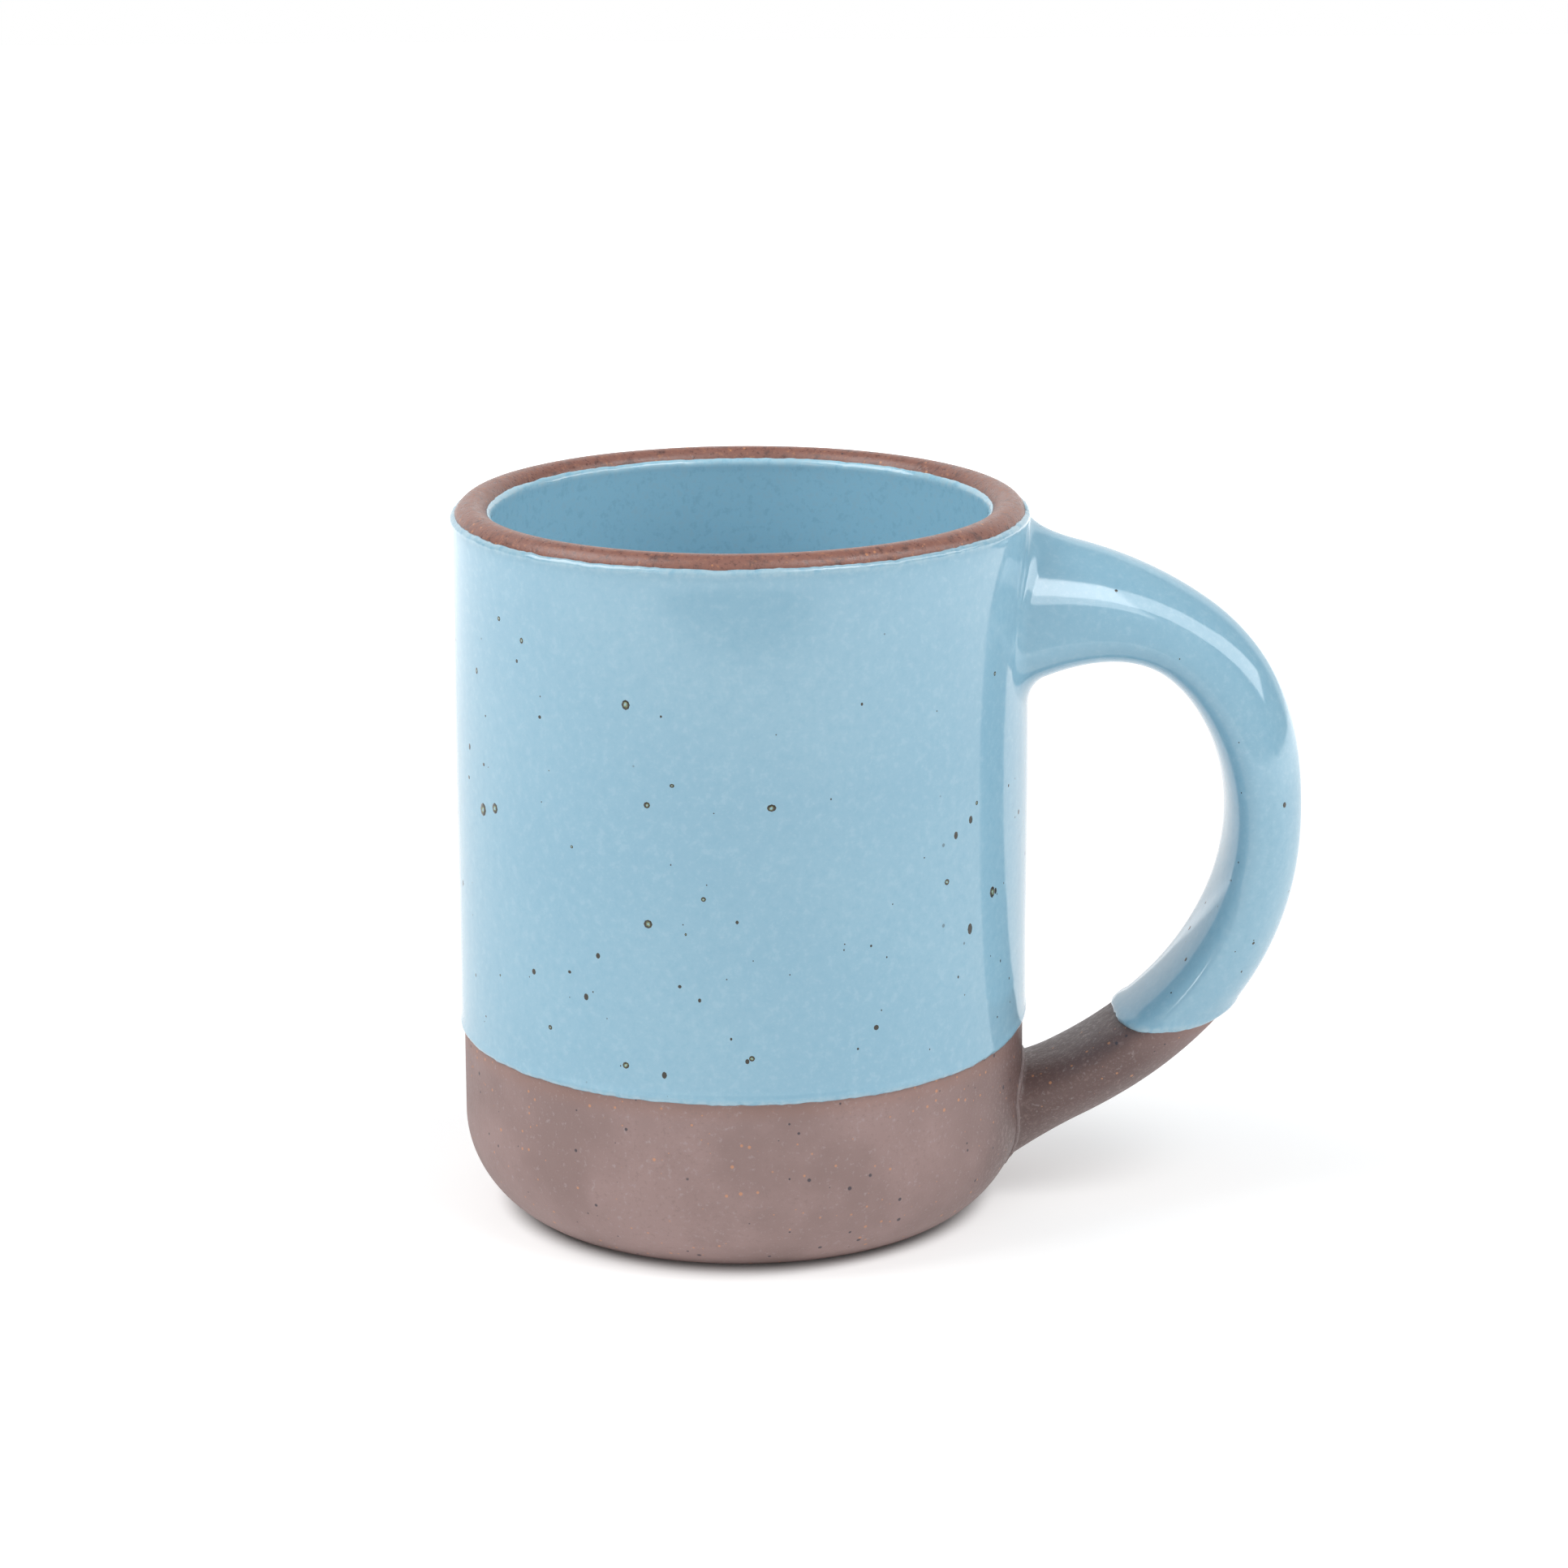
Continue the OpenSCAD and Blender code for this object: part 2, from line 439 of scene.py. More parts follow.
def makeLoopCoat():
    t, buried = coat["thickness"], coat["buried"]
    longLines = []
    for angle in loopAngles():
        spread = 1 + upperWeb["spread"] * max(0.0, cos(angle)) ** 8
        row, leave = flangeRow(angle, 0.0, 0.3, t, coatReach(angle), 16, spread)
        end = dipEnd(angle, t)
        length = loopLength(end - 0.01, end, angle, t) / 0.01
        for i in range(1, loop["stations"] + 1):
            u = leave + (end - leave) * (i / loop["stations"]) ** 0.9
            row.append(loopPoint(u, angle, coatGrow(50.0, max((end - u) * length, coat["edge"]))))
        full = coatGrow(50.0, coat["edge"])
        for turn in (20, 40, 58, 74, 86):
            u = end + t * sin(radians(turn)) / length
            row.append(loopPoint(u, angle, full * cos(radians(turn))))
        cut = meetsCup(angle, 0.0, 0.3, buried)
        for i in range(61):
            row.append(loopPoint(end + (cut - end) * i / 60, angle, buried))
        row.append(onCup(row[0], buried))
        longLines.append(row)
    rings = [[row[i] for row in longLines] for i in range(len(longLines[0]))]
    return meshFromRings("handle_coat", rings, joined=True), (20, 10 + loop["stations"])


def makeLoopClay():
    longLines = []
    for angle in loopAngles():
        uneven = noise.noise(Vector((cos(angle) * 3, sin(angle) * 3, 31)))
        reach = lowerWeb["reach"] + lowerWeb["uneven"] * uneven
        web, leave = flangeRow(angle, 1.0, 0.78, 0.0, reach, 8)
        row = [loopPoint(leave * i / loop["stations"], angle) for i in range(loop["stations"])]
        row += list(reversed(web))
        row.append(onCup(web[0], -0.8))
        longLines.append(row)
    rings = [[row[i] for row in longLines] for i in range(len(longLines[0]))]
    return meshFromRings("handle_clay", rings, startPole=(38.5, 0, loop["upperHeight"]),
                         endPole=(38.0, 0, loop["lowerHeight"] + 1.5))


# the roll of slip squeezed out round the lower root
slipBead = {"radius": 0.46, "uneven": 0.5, "unevenOver": 1.7, "around": 8, "away": 1.3}


def makeSlipBead():
    rings = []
    for angle in loopAngles():
        cut = meetsCup(angle, 1.0, 0.78, 0.0)
        edge = loopPoint(cut, angle)
        middle = (loopPoint(cut, 0.0) + loopPoint(cut, pi)) / 2
        normal = Vector((edge.x, edge.y, 0)).normalized()
        away = edge - middle
        away = (away - normal * away.dot(normal)).normalized()
        seat = onCup(edge + away * slipBead["away"], 0.0)
        lump = 1 + slipBead["uneven"] * noise.noise(seat / slipBead["unevenOver"])
        size = slipBead["radius"] * lump
        rings.append([seat + (normal * cos(2 * pi * k / slipBead["around"])
                              + away * sin(2 * pi * k / slipBead["around"])) * size
                      for k in range(slipBead["around"])])
    return meshFromRings("lower_slip_bead", rings, joined=True)


# the finishes' colours, grains and gloss
glazeTone = {
    "base": (0.256, 0.445, 0.560, 1.0),
    "deep": (0.210, 0.400, 0.525, 1.0),
    "pale": (0.318, 0.502, 0.605, 1.0),
    "iron": (0.030, 0.026, 0.018, 1.0),
    "halo": (0.22, 0.27, 0.12, 1.0),
    # painted light: a paler, bluer tone for the liner, so that the cup's inside reads brighter
    "inside": (0.300, 0.560, 0.700, 1.0),
    "thin": (0.42, 0.56, 0.62, 1.0),     # where the coat thins at its edges
    "poolScale": 30.0,        # slow pools, pebbled surface and fine haze
    "pebbleScale": 760.0,
    "fineScale": 2400.0,
    "peelScale": 210.0,
    "faintDots": (260.0, 0.09, 0.25),    # scale, largest radius and share of cells
    "roughness": 0.09,
    "ior": 1.56,
}
clayTone = {
    "base": (0.305, 0.210, 0.198, 1.0),
    "dark": (0.240, 0.163, 0.152, 1.0),
    "blush": (0.290, 0.160, 0.125, 1.0),
    "lip": (0.232, 0.104, 0.078, 1.0),
    "lipDark": (0.105, 0.062, 0.058, 1.0),
    "rust": (0.600, 0.270, 0.130, 1.0),
    "soot": (0.045, 0.042, 0.055, 1.0),
    # painted shade: a darker clay tone round the handle's lower root, where the handle and the cup shade
    # it
    "paintedShadeTone": (0.115, 0.070, 0.064, 1.0),
    "ash": (0.42, 0.36, 0.36, 1.0),
    "paintedShadeMiddle": (0.046, -0.004, 0.014),   # middle of the painted shade, beside the lower root, in metres
    "paintedShadeReach": (0.030, 0.012),
    "blotchScale": 55.0,
    "mottleScale": 480.0,
    "grainScale": 1300.0,
    "toothScale": 520.0,
    "rustDots": (900.0, 0.30, 0.32),
    "sootDots": (700.0, 0.28, 0.14),
    "roughness": 0.62,
    "polished": 0.33,         # roughness of the lip, and partly of the clay under the painted shade round the lower root
    "ior": 1.45,
}


class Nodes:
    # a short hand for building one node tree
    def __init__(self, tree):
        self.tree = tree
        tree.nodes.clear()

    def add(self, kind, inputs=None, **settings):
        node = self.tree.nodes.new(kind)
        for key, value in settings.items():
            setattr(node, key, value)
        for key, value in (inputs or {}).items():
            if isinstance(value, bpy.types.NodeSocket):
                self.tree.links.new(value, node.inputs[key])
            else:
                node.inputs[key].default_value = value
        return node

    def mix(self, factor, a, b):
        return self.add("ShaderNodeMix", {0: factor, 6: a, 7: b}, data_type="RGBA").outputs[2]

    def ramp(self, value, low, high, toLow=0.0, toHigh=1.0):
        node = self.add("ShaderNodeMapRange", {0: value, 1: low, 2: high, 3: toLow, 4: toHigh},
                        interpolation_type="SMOOTHSTEP")
        return node.outputs[0]

    def math(self, operation, a, b=0.0):
        return self.add("ShaderNodeMath", {0: a, 1: b}, operation=operation).outputs[0]

    def noise(self, place, scale, detail=2.0, roughness=0.5):
        node = self.add("ShaderNodeTexNoise", {"Vector": place, "Scale": scale, "Detail": detail,
                                               "Roughness": roughness})
        return node.outputs[0]

    def dots(self, place, scale, radius, share, soft=0.4):
        # round flecks: one in each chosen cell of a lattice, radius as a share of the cell
        cells = self.add("ShaderNodeTexVoronoi", {"Vector": place, "Scale": scale, "Randomness": 1.0})
        pick = self.add("ShaderNodeSeparateColor", {0: cells.outputs["Color"]})
        size = self.math("MULTIPLY", pick.outputs[1], radius)
        spot = self.ramp(self.math("DIVIDE", cells.outputs["Distance"], self.math("ADD", size, 0.001)),
                         1.0, 1.0 - soft)
        chosen = self.math("LESS_THAN", pick.outputs[0], share)
        return self.math("MULTIPLY", spot, chosen)


def glazeColour(n, place, inside=0.0):
    pool = n.ramp(n.noise(place, glazeTone["poolScale"], 3.0), 0.34, 0.70)
    pebble = n.noise(place, glazeTone["pebbleScale"], 3.0, 0.65)
    fine = n.noise(place, glazeTone["fineScale"], 2.0)
    colour = n.mix(n.math("MULTIPLY", pool, 0.45), glazeTone["base"], glazeTone["deep"])
    # painted light: the liner's colour is lifted towards the paler tone so that the cup's inside reads
    # brighter
    if inside:
        colour = n.mix(inside, colour, glazeTone["inside"])
    colour = n.mix(n.ramp(pebble, 0.51, 0.70, 0.0, 0.42), colour, glazeTone["pale"])
    colour = n.mix(n.ramp(pebble, 0.50, 0.32, 0.0, 0.40), colour, glazeTone["deep"])
    colour = n.mix(n.ramp(fine, 0.55, 0.75, 0.0, 0.30), colour, glazeTone["pale"])
    height = n.add("ShaderNodeSeparateXYZ", {0: place}).outputs[2]
    line, lip = coat["dipLine"] * mm, coat["lipLine"] * mm
    low = n.ramp(height, line + 0.0010, line + 0.0001, 0.0, 0.55)
    top = n.ramp(height, lip - 0.0016, lip - 0.0004, 0.0, 0.45)
    thin = n.math("MULTIPLY", n.math("ADD", low, top), n.ramp(pebble, 0.3, 0.6))
    colour = n.mix(thin, colour, glazeTone["thin"])
    faint = n.dots(place, *glazeTone["faintDots"])
    return n.mix(n.math("MULTIPLY", faint, 0.55), colour, glazeTone["iron"])


def glazeShader(n, colour, place):
    peel = n.noise(place, glazeTone["peelScale"], 2.0)
    bump = n.add("ShaderNodeBump", {"Strength": 0.35, "Distance": 0.00006, "Height": peel})
    shader = n.add("ShaderNodeBsdfPrincipled", {
        "Base Color": colour, "Roughness": glazeTone["roughness"], "IOR": glazeTone["ior"],
        "Normal": bump.outputs[0]})
    out = n.add("ShaderNodeOutputMaterial")
    n.tree.links.new(shader.outputs[0], out.inputs[0])


def glazeMaterial(name, inside=0.0):
    material = bpy.data.materials.new(name)
    material.use_nodes = True
    n = Nodes(material.node_tree)
    place = n.add("ShaderNodeTexCoord").outputs["Object"]
    glazeShader(n, glazeColour(n, place, inside), place)
    return material


def speckMaterial():
    # the colour of iron melting through the glaze; the mesh says how strongly at each point
    material = bpy.data.materials.new("iron_speck")
    material.use_nodes = True
    n = Nodes(material.node_tree)
    place = n.add("ShaderNodeTexCoord").outputs["Object"]
    colour = glazeColour(n, place)
    iron = n.add("ShaderNodeAttribute", attribute_name="iron").outputs["Fac"]
    uneven = n.math("ADD", iron, n.ramp(n.noise(place, 2600.0, 2.0), 0.2, 0.8, -0.22, 0.22))
    colour = n.mix(n.ramp(uneven, 0.18, 0.50), colour, glazeTone["halo"])
    colour = n.mix(n.ramp(uneven, 0.42, 0.78), colour, glazeTone["iron"])
    glazeShader(n, colour, place)
    return material


def clayMaterial(name, paler=0.0):
    material = bpy.data.materials.new(name)
    material.use_nodes = True
    n = Nodes(material.node_tree)
    place = n.add("ShaderNodeTexCoord").outputs["Object"]
    height = n.add("ShaderNodeSeparateXYZ", {0: place}).outputs[2]
    blotch = n.ramp(n.noise(place, clayTone["blotchScale"], 3.0, 0.6), 0.38, 0.68)
    colour = n.mix(blotch, clayTone["base"], clayTone["dark"])
    # iron blush beside the glaze: under the dip line and all over the lip
    line, lip = coat["dipLine"] * mm, coat["lipLine"] * mm
    under = n.ramp(height, line - 0.0032, line - 0.0002)
    over = n.ramp(height, line + 0.004, line + 0.002)
    rim = n.ramp(height, lip - 0.003, lip - 0.001)
    blush = n.math("MULTIPLY", n.math("MULTIPLY", under, over), 0.45)
    colour = n.mix(blush, colour, clayTone["blush"])
    # painted shade: the clay is darkened round the handle's lower root, where the handle and the cup shade
    # it
    root = n.add("ShaderNodeVectorMath", {0: place, 1: clayTone["paintedShadeMiddle"]}, operation="DISTANCE")
    paintedShade = n.ramp(root.outputs["Value"], *clayTone["paintedShadeReach"])
    colour = n.mix(n.math("MULTIPLY", paintedShade, 0.88), colour, clayTone["paintedShadeTone"])
    colour = n.mix(n.math("MULTIPLY", rim, 0.92), colour, clayTone["lip"])
    patches = n.ramp(n.noise(place, clayTone["mottleScale"], 4.0, 0.65), 0.52, 0.70)
    mottle = n.math("MULTIPLY", n.math("MULTIPLY", patches, rim), 0.75)
    colour = n.mix(mottle, colour, clayTone["lipDark"])
    # the grain, dark and light, and redder on the lip
    grain = n.noise(place, clayTone["grainScale"], 3.0, 0.7)
    darkGrain = n.mix(rim, clayTone["dark"], clayTone["lipDark"])
    lightGrain = n.mix(rim, clayTone["ash"], clayTone["rust"])
    colour = n.mix(n.ramp(grain, 0.48, 0.28, 0.0, 0.70), colour, darkGrain)
    colour = n.mix(n.ramp(grain, 0.55, 0.75, 0.0, 0.42), colour, lightGrain)
    rust = n.dots(place, *clayTone["rustDots"])
    colour = n.mix(n.math("MULTIPLY", rust, 0.62), colour, clayTone["rust"])
    soot = n.dots(place, *clayTone["sootDots"])
    colour = n.mix(n.math("MULTIPLY", soot, 0.85), colour, clayTone["soot"])
    if paler:
        colour = n.mix(paler, colour, clayTone["ash"])
    lumps = n.math("MULTIPLY", n.noise(place, clayTone["toothScale"], 2.0), 0.7)
    tooth = n.math("ADD", n.math("MULTIPLY", grain, 0.6), lumps)
    bump = n.add("ShaderNodeBump", {"Strength": 0.65, "Distance": 0.00017, "Height": tooth})
    # the lip is satin, and so partly is the clay under the painted shade round the lower root
    satin = n.math("MAXIMUM", rim, n.math("MULTIPLY", paintedShade, 0.6))
    polish = n.math("ADD", n.ramp(satin, 0.0, 1.0, clayTone["roughness"], clayTone["polished"]),
                    n.ramp(grain, 0.3, 0.7, -0.08, 0.10))
    shader = n.add("ShaderNodeBsdfPrincipled", {
        "Base Color": colour, "Roughness": polish, "IOR": clayTone["ior"], "Normal": bump.outputs[0]})
    out = n.add("ShaderNodeOutputMaterial")
    n.tree.links.new(shader.outputs[0], out.inputs[0])
    return material


print("finishes")
glazeFinish = glazeMaterial("blue_glaze")
# the liner, its tone lifted by painted light
linerFinish = glazeMaterial("liner_glaze", 0.9)
clayFinish = clayMaterial("bare_clay")
slipFinish = clayMaterial("clay_slip", 0.20)
ironFinish = speckMaterial()


def finishPiece(piece, material, slot, *nodes):
    piece.data.materials.clear()
    piece.data.materials.append(material)
    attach(piece, "root")
    if nodes:
        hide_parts(*nodes)


# iron specks: small glassy discs melted into the coats
speck = {
    "sides": 8,
    # radius and height for a radius of 1, from the middle of its face to the point beneath
    "profile": ((0.0, 0.05), (0.40, 0.05), (0.74, 0.03), (1.0, -0.05), (0.0, -0.2)),
    "dot": (1.0, 1.0, 0.95, 0.30, 0.0),       # iron at each of those points
    "ring": (0.05, 0.62, 1.0, 0.34, 0.0),
    "smallest": 0.12,
    "largest": 0.50,
    "rare": 3.2,                              # how much rarer the large ones are
    "ringShare": 0.12,
    "perSquareMetre": 9000.0,
    "heights": (0.035, 0.095),                # the heights between which they thin out, in metres
    "density": (1.5, 0.35),                   # below the first and above the second
}
bigSpecks = (
    # on the cup: turned from the front towards the handle, height, radius,
    # how tall for its width, and 1 for a ring or 0 for a dot
    (-23, 84, 0.72, 1.2, 1), (5, 70, 0.78, 0.8, 1), (-19, 70, 0.56, 1.0, 1), (-14, 73, 0.42, 0.8, 1),
    (-63, 64, 1.05, 1.1, 1), (-58, 65, 0.85, 1.1, 1), (-19, 53, 0.75, 1.0, 1), (-8, 57, 0.42, 1.0, 1),
    (-46, 43, 0.45, 1.2, 0), (-24, 32, 0.60, 1.0, 1), (1, 34, 0.50, 1.0, 1), (26, 37, 0.48, 1.0, 0),
    (43, 56, 0.55, 1.0, 1), (50, 48, 0.62, 1.6, 0), (58, 52, 0.85, 1.2, 1), (50, 64, 0.50, 1.4, 0),
)


def makeSpeckShape(name, iron):
    points, amounts = [], []
    for (radius, height), amount in zip(speck["profile"], iron):
        turns = range(speck["sides"]) if radius else (0,)
        for k in turns:
            angle = 2 * pi * k / speck["sides"]
            points.append((radius * cos(angle) * mm, radius * sin(angle) * mm, height * mm))
            amounts.append(amount)
    count, last = speck["sides"], len(points) - 1
    faces = [(0, 1 + k, 1 + (k + 1) % count) for k in range(count)]
    for ring in range(2):
        a, b = 1 + ring * count, 1 + (ring + 1) * count
        faces += [(a + k, b + k, b + (k + 1) % count, a + (k + 1) % count) for k in range(count)]
    faces += [(last, b + (k + 1) % count, b + k) for k in range(count)]
    shape = meshObject(name, points, faces)
    shape.data.attributes.new("iron", "FLOAT", "POINT").data.foreach_set("value", amounts)
    return shape


def makeBigSpeckSpots():
    # one point for each placed speck, with what the tree below reads from it
    spots, outward = [], []
    for turn, height, *_ in bigSpecks:
        way = Vector((sin(radians(turn)), -cos(radians(turn)), 0))
        spots.append(handMade(way * (cup["radius"] + coat["thickness"]) + Vector((0, 0, height))) * mm)
        outward += list(way)
    mesh = bpy.data.meshes.new("big_speck_spots")
    mesh.from_pydata(spots, [], [])
    mesh.attributes.new("outward", "FLOAT_VECTOR", "POINT").data.foreach_set("vector", outward)
    mesh.attributes.new("size", "FLOAT", "POINT").data.foreach_set("value", [b[2] for b in bigSpecks])
    mesh.attributes.new("tall", "FLOAT", "POINT").data.foreach_set("value", [b[3] for b in bigSpecks])
    mesh.attributes.new("kind", "INT", "POINT").data.foreach_set("value", [b[4] for b in bigSpecks])
    spot = bpy.data.objects.new("big_speck_spots", mesh)
    bpy.context.scene.collection.objects.link(spot)
    return spot


def makeSpeckTree():
    tree = bpy.data.node_groups.new("iron specks", "GeometryNodeTree")
    n = Nodes(tree)
    for name, kind, value in (("Coat", "Geometry", None), ("Placed", "Object", None),
                              ("Dot", "Object", None), ("Ring", "Object", None),
                              ("Per square metre", "Float", speck["perSquareMetre"]),
                              ("Smallest", "Float", speck["smallest"]),
                              ("Largest", "Float", speck["largest"]),
                              ("Ring share", "Float", speck["ringShare"]), ("Seed", "Int", 1),
                              ("Finish", "Material", None)):
        socket = tree.interface.new_socket(name, in_out="INPUT", socket_type="NodeSocket" + kind)
        if value is not None:
            socket.default_value = value
    tree.interface.new_socket("Specks", in_out="OUTPUT", socket_type="NodeSocketGeometry")
    given = n.add("NodeGroupInput").outputs
    height = n.add("ShaderNodeSeparateXYZ", {0: n.add("GeometryNodeInputPosition").outputs[0]}).outputs[2]
    low, high = speck["heights"]
    more, less = speck["density"]
    crowd = n.add("ShaderNodeMapRange", {0: height, 1: low, 2: high, 3: more, 4: less}).outputs[0]
    spread = n.add("GeometryNodeDistributePointsOnFaces", {
        "Mesh": given["Coat"], "Density": n.math("MULTIPLY", given["Per square metre"], crowd),
        "Seed": given["Seed"]})

    def chance(seedStep, low, high, kind="FLOAT"):
        seed = n.math("ADD", given["Seed"], seedStep)
        if kind == "BOOLEAN":
            return n.add("FunctionNodeRandomValue", {6: high, 8: seed}, data_type=kind).outputs[3]
        return n.add("FunctionNodeRandomValue", {2: low, 3: high, 8: seed}, data_type=kind).outputs[1]

    share = n.math("POWER", chance(11.0, 0.0, 1.0), speck["rare"])
    radius = n.add("ShaderNodeMapRange", {0: share, 3: given["Smallest"], 4: given["Largest"]}).outputs[0]
    points = spread.outputs["Points"]
    for name, kind, value in (("outward", "FLOAT_VECTOR", spread.outputs["Normal"]),
                              ("size", "FLOAT", radius),
                              ("tall", "FLOAT", chance(12.0, 0.8, 1.4)),
                              ("kind", "INT", chance(13.0, 0.0, given["Ring share"], "BOOLEAN"))):
        points = n.add("GeometryNodeStoreNamedAttribute", {
            "Geometry": points, "Name": name, "Value": value}, data_type=kind).outputs[0]
    spots = n.add("GeometryNodeObjectInfo", {"Object": given["Placed"]}).outputs["Geometry"]
    placed = n.add("GeometryNodeMeshToPoints", {"Mesh": spots}).outputs[0]
    every = n.add("GeometryNodeJoinGeometry")
    for part in (points, placed):
        tree.links.new(part, every.inputs[0])

    def stored(name, kind):
        return n.add("GeometryNodeInputNamedAttribute", {"Name": name}, data_type=kind).outputs[0]

    upright = n.add("FunctionNodeAlignRotationToVector", {"Vector": (0.0, 0.0, 1.0)}, axis="Y").outputs[0]
    facing = n.add("FunctionNodeAlignRotationToVector", {
        "Rotation": upright, "Vector": stored("outward", "FLOAT_VECTOR")}, axis="Z").outputs[0]
    size = stored("size", "FLOAT")
    scale = n.add("ShaderNodeCombineXYZ", {
        0: size, 1: n.math("MULTIPLY", size, stored("tall", "FLOAT")), 2: size})
    kinds = n.add("GeometryNodeGeometryToInstance")
    for name in ("Ring", "Dot"):
        shape = n.add("GeometryNodeObjectInfo", {"Object": given[name]}).outputs["Geometry"]
        tree.links.new(shape, kinds.inputs[0])
    copies = n.add("GeometryNodeInstanceOnPoints", {
        "Points": every.outputs[0], "Instance": kinds.outputs[0], "Pick Instance": True,
        "Instance Index": stored("kind", "INT"), "Rotation": facing, "Scale": scale.outputs[0]})
    real = n.add("GeometryNodeRealizeInstances", {"Geometry": copies.outputs[0]})
    done = n.add("GeometryNodeSetMaterial", {"Geometry": real.outputs[0], "Material": given["Finish"]})
    n.add("NodeGroupOutput", {0: done.outputs[0]})
    return tree


def skinOf(piece, strips, count):
    # the seen face of a coat alone, for the specks to land on
    mesh = piece.data
    wanted = [list(f.vertices) for f in list(mesh.polygons)[strips[0] * count:strips[1] * count]]
    skin = bpy.data.meshes.new(piece.name + "_skin")
    skin.from_pydata([v.co.copy() for v in mesh.vertices], [], wanted)
    host = bpy.data.objects.new(piece.name + "_skin", skin)
    bpy.context.scene.collection.objects.link(host)
    return host


def scatterSpecks(name, host, tree, finish, slot, **values):
    modifier = host.modifiers.new("specks", "NODES")
    modifier.node_group = tree
    for item in tree.interface.items_tree:
        if item.in_out == "INPUT" and item.name in values:
            modifier[item.identifier] = values[item.name]
    host.update_tag()
    bpy.context.view_layer.update()
    mesh = bpy.data.meshes.new_from_object(host.evaluated_get(bpy.context.evaluated_depsgraph_get()))
    mesh.name = name
    host.modifiers.remove(modifier)
    bpy.data.objects.remove(host)
    mesh.shade_smooth()
    piece = bpy.data.objects.new(name, mesh)
    bpy.context.scene.collection.objects.link(piece)
    print(name, len(mesh.polygons) // (speck["sides"] * 4), "specks")
    finishPiece(piece, finish, slot)


print("cup and its coats")
finishPiece(makeCup(), clayFinish, "bare_clay", "cup_body")
cupCoat, cupStrips = makeOutsideCoat()
finishPiece(cupCoat, glazeFinish, "blue_glaze", "cup_glaze")
linerCoat, linerStrips = makeLiner()
finishPiece(linerCoat, linerFinish, "liner_glaze", "liner_glaze")

print("handle")
handleCoat, handleStrips = makeLoopCoat()
finishPiece(handleCoat, glazeFinish, "blue_glaze", "handle_glaze")
finishPiece(makeLoopClay(), clayFinish, "bare_clay", "handle")
finishPiece(makeSlipBead(), slipFinish, "clay_slip", "lower_slip_joint")

print("specks")
dotShape = makeSpeckShape("speck_dot", speck["dot"])
ringShape = makeSpeckShape("speck_ring", speck["ring"])
bigSpots = makeBigSpeckSpots()
speckTree = makeSpeckTree()
shapes = {"Dot": dotShape, "Ring": ringShape}
scatterSpecks("cup_specks", skinOf(cupCoat, cupStrips, cup["segments"]), speckTree,
              ironFinish, "blue_glaze", Placed=bigSpots, Finish=ironFinish, Seed=5, **shapes)
scatterSpecks("handle_specks", skinOf(handleCoat, handleStrips, loop["sides"]), speckTree,
              ironFinish, "blue_glaze", Finish=ironFinish, Seed=8, **shapes)
scatterSpecks("liner_specks", skinOf(linerCoat, linerStrips, cup["segments"]), speckTree,
              ironFinish, "liner_glaze", Finish=ironFinish, Seed=3, **shapes)
for helper in (dotShape, ringShape, bigSpots):
    bpy.data.objects.remove(helper)

# the slip under the upper root keeps its own solid, hidden beneath the glaze
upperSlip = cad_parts["upper_slip_joint"]
upperSlip.data.materials.clear()
upperSlip.data.materials.append(slipFinish)


# the stage: a white table that glows, four area lights, a white backdrop and a dim room
stage = {
    "tableFront": -0.42, "tableBack": 1.6, "tableSide": 1.3,
    "tableTone": 0.70,
    "tableGlow": (0.39, 1.15),   # beside the mug and far from it
    "tableRing": (0.22, 0.60),   # the distances between which that changes
    "contact": (0.0325, 0.0375),  # the table is dark within the first, beneath the foot
    "tableRoughness": 0.9,
    "room": 0.60,             # brightness of the room in front of the mug
    "board": 0.60,            # of the low white board in front
    "sides": 0.10,            # of the dark beside and behind it
    "ceiling": 0.40,
    "backdrop": 1.1,          # and of the white backdrop behind
}
softboxes = {
    # where each stands, seen from the mug: turned from the front towards the handle, raised, and how far
    # off; its width and height, its lean, and how bright its face is
    "right_box": {"turn": 82, "rise": 41, "away": 1.2, "size": (1.50, 0.34), "lean": -52, "glow": 3.9},
    "right_core": {"turn": 47, "rise": 55, "away": 1.2, "size": (0.50, 0.52), "lean": -25, "glow": 3.5},
    "left_box": {"turn": -84, "rise": 49, "away": 1.2, "size": (0.85, 0.80), "lean": 20, "glow": 4.7},
    "low_card": {"turn": -36, "rise": 14, "away": 1.3, "size": (0.30, 0.07), "lean": 12, "glow": 9.0},
}
softboxAim = Vector((0, 0, 0.05))      # the middle of the mug, which they all face


def makeTable():
    side, front, back = stage["tableSide"], stage["tableFront"], stage["tableBack"]
    mesh = bpy.data.meshes.new("table")
    outline = [(-side, front, 0), (side, front, 0), (side, back, 0), (-side, back, 0)]
    mesh.from_pydata(outline, [], [(0, 1, 2, 3)])
    table = bpy.data.objects.new("table", mesh)
    bpy.context.scene.collection.objects.link(table)
    material = bpy.data.materials.new("white_table")
    material.use_nodes = True
    n = Nodes(material.node_tree)
    tone = stage["tableTone"]
    place = n.add("ShaderNodeTexCoord").outputs["Object"]
    far = n.add("ShaderNodeVectorMath", {0: place}, operation="LENGTH").outputs["Value"]
    glow = n.ramp(far, *stage["tableRing"], *stage["tableGlow"])
    glow = n.math("MULTIPLY", glow, n.ramp(far, *stage["contact"]))
    shader = n.add("ShaderNodeBsdfPrincipled", {
        "Base Color": (tone, tone, tone, 1.0), "Roughness": stage["tableRoughness"],
        "Specular IOR Level": 0.1,
        "Emission Color": (1.0, 1.0, 1.0, 1.0), "Emission Strength": glow})
    out = n.add("ShaderNodeOutputMaterial")
    n.tree.links.new(shader.outputs[0], out.inputs[0])
    mesh.materials.append(material)


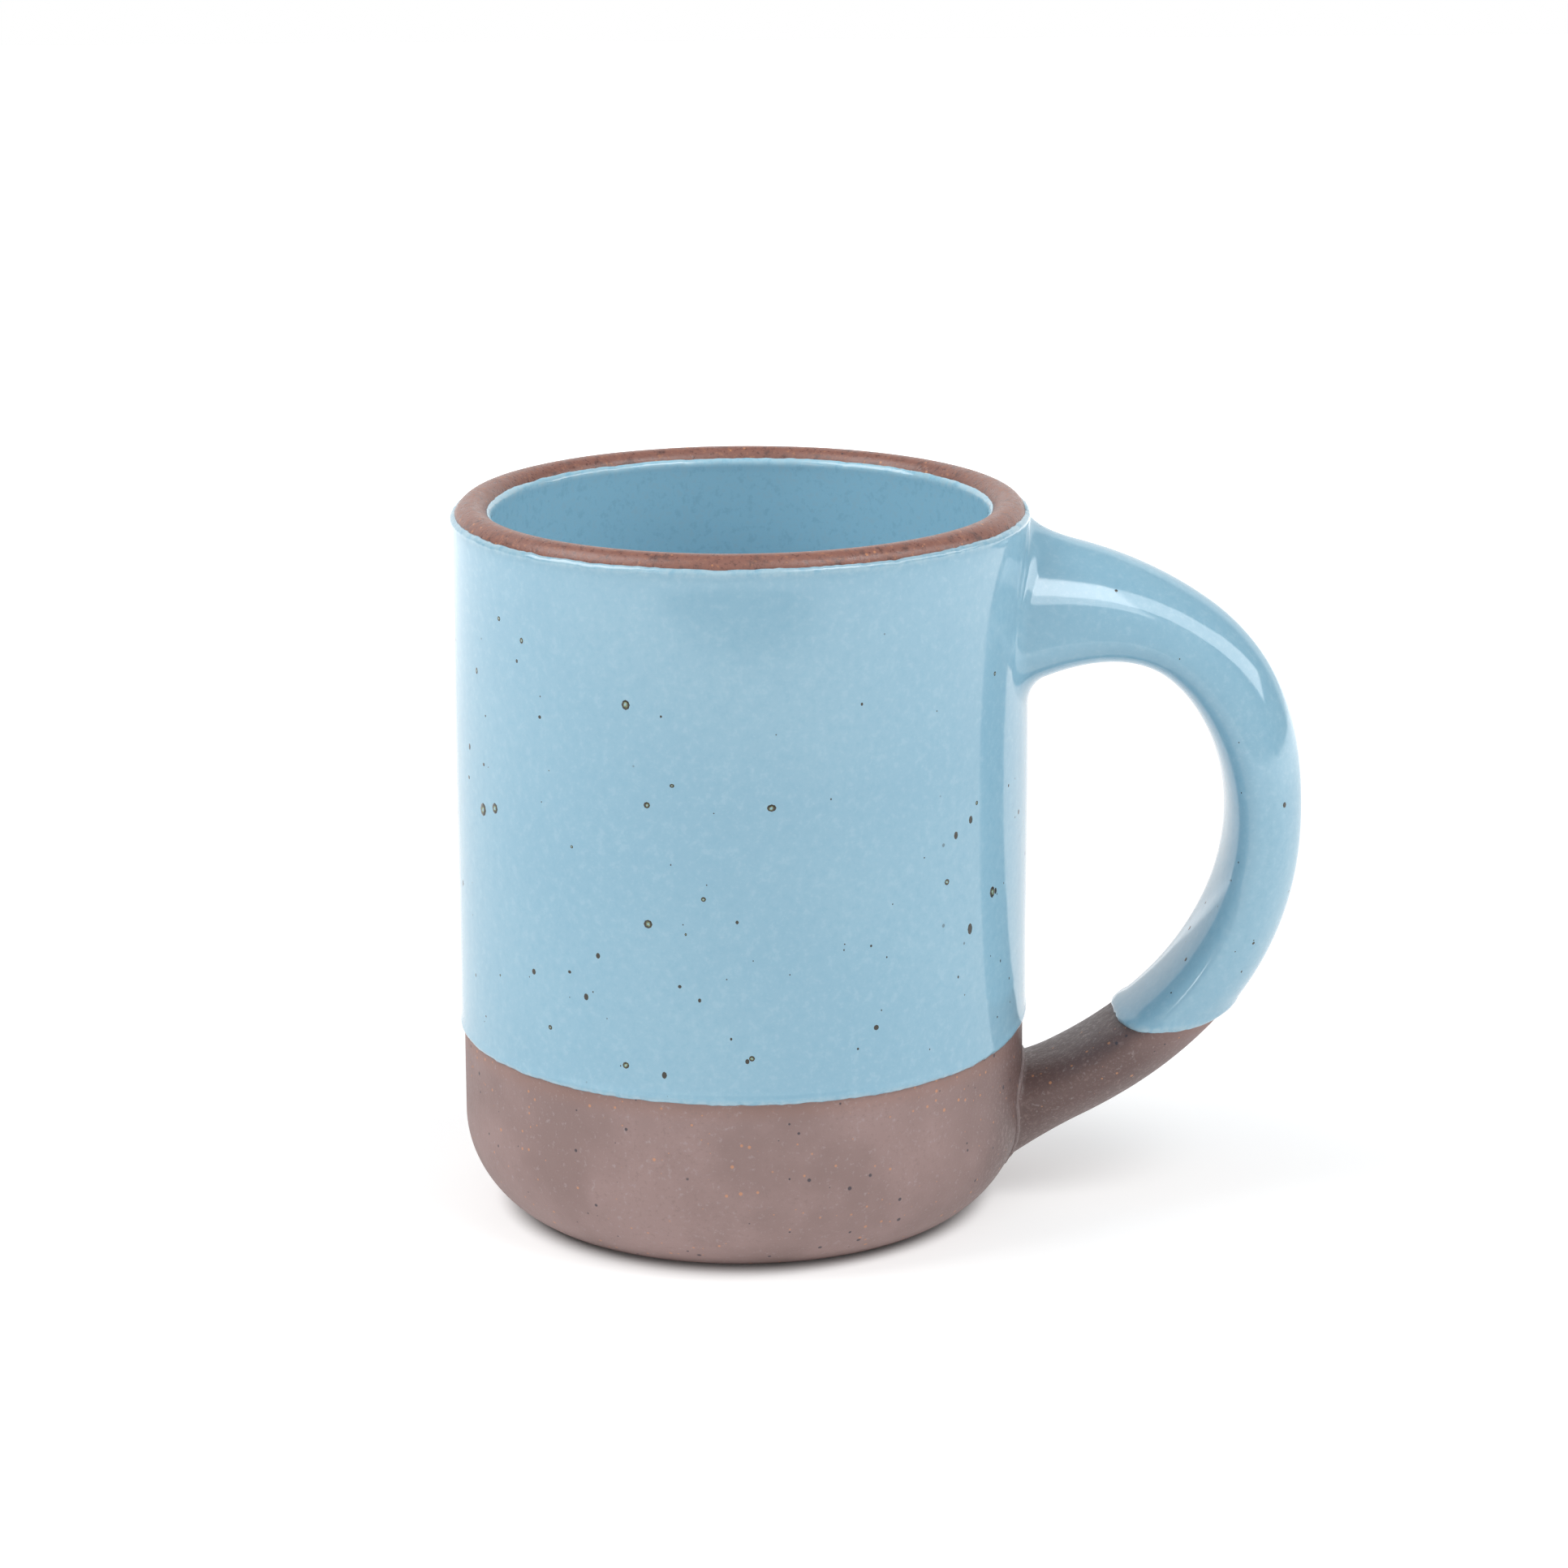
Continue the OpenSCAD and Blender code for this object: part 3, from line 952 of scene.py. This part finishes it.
def makeSoftbox(name, box):
    turn, rise = radians(box["turn"]), radians(box["rise"])
    away = Vector((sin(turn) * cos(rise), -cos(turn) * cos(rise), sin(rise)))
    lamp = bpy.data.lights.new(name, "AREA")
    lamp.shape = "RECTANGLE"
    lamp.size, lamp.size_y = box["size"]
    lamp.energy = pi * box["glow"] * box["size"][0] * box["size"][1]
    softbox = bpy.data.objects.new(name, lamp)
    softbox.location = away * box["away"] + softboxAim
    facing = (-away).to_track_quat("-Z", "Y").to_matrix()
    softbox.rotation_euler = (facing @ Matrix.Rotation(radians(box["lean"]), 3, "Z")).to_euler()
    softbox.visible_camera = False
    bpy.context.scene.collection.objects.link(softbox)


def makeWorld():
    # the camera sees plain white; the mug mirrors a dim room with a white backdrop behind
    world = bpy.data.worlds.new("studio")
    bpy.context.scene.world = world
    world.use_nodes = True
    n = Nodes(world.node_tree)
    way = n.add("ShaderNodeSeparateXYZ", {0: n.add("ShaderNodeTexCoord").outputs["Generated"]})
    behind = n.ramp(way.outputs[1], 0.52, 0.70)
    low = n.ramp(way.outputs[2], 0.72, 0.52)
    strength = n.ramp(way.outputs[1], 0.05, -0.55, stage["sides"], stage["room"])
    inFront = n.ramp(way.outputs[1], -0.50, -0.62)
    board = n.math("MULTIPLY", inFront, n.ramp(way.outputs[2], 0.44, 0.38))
    ceiling = n.ramp(way.outputs[2], 0.86, 0.96)
    backdrop = n.math("MULTIPLY", behind, low)
    for share, glow in ((board, "board"), (ceiling, "ceiling"), (backdrop, "backdrop")):
        strength = n.add("ShaderNodeMix", {0: share, 2: strength, 3: stage[glow]}).outputs[0]
    seen = n.add("ShaderNodeLightPath").outputs["Is Camera Ray"]
    strength = n.add("ShaderNodeMix", {0: seen, 2: strength, 3: 1.0})
    back = n.add("ShaderNodeBackground", {0: (1.0, 1.0, 1.0, 1.0), 1: strength.outputs[0]})
    out = n.add("ShaderNodeOutputWorld")
    n.tree.links.new(back.outputs[0], out.inputs[0])


# the camera: metres from the mug's axis and above the table, then degrees, then its lens
view = {"away": 0.662, "height": 0.2403, "pitch": 15.05, "pan": 0.53, "roll": -0.29,
        "round": 0.6, "lens": 107.9, "sensor": 36.0}


def makeCamera():
    lens = bpy.data.cameras.new("studio_camera")
    lens.lens = view["lens"]
    lens.sensor_width = view["sensor"]
    camera = bpy.data.objects.new("studio_camera", lens)
    turn = Matrix.Rotation(radians(-view["round"]), 4, "Z")
    aim = Matrix.Rotation(radians(-view["pan"]), 4, "Z") \
        @ Matrix.Rotation(radians(90 - view["pitch"]), 4, "X") \
        @ Matrix.Rotation(radians(view["roll"]), 4, "Z")
    camera.matrix_world = turn @ Matrix.Translation((0, -view["away"], view["height"])) @ aim
    bpy.context.scene.collection.objects.link(camera)
    bpy.context.scene.camera = camera


print("stage")
makeTable()
makeWorld()
makeCamera()
for boxName, box in softboxes.items():
    makeSoftbox(boxName, box)
bpy.context.scene.view_settings.view_transform = "Standard"
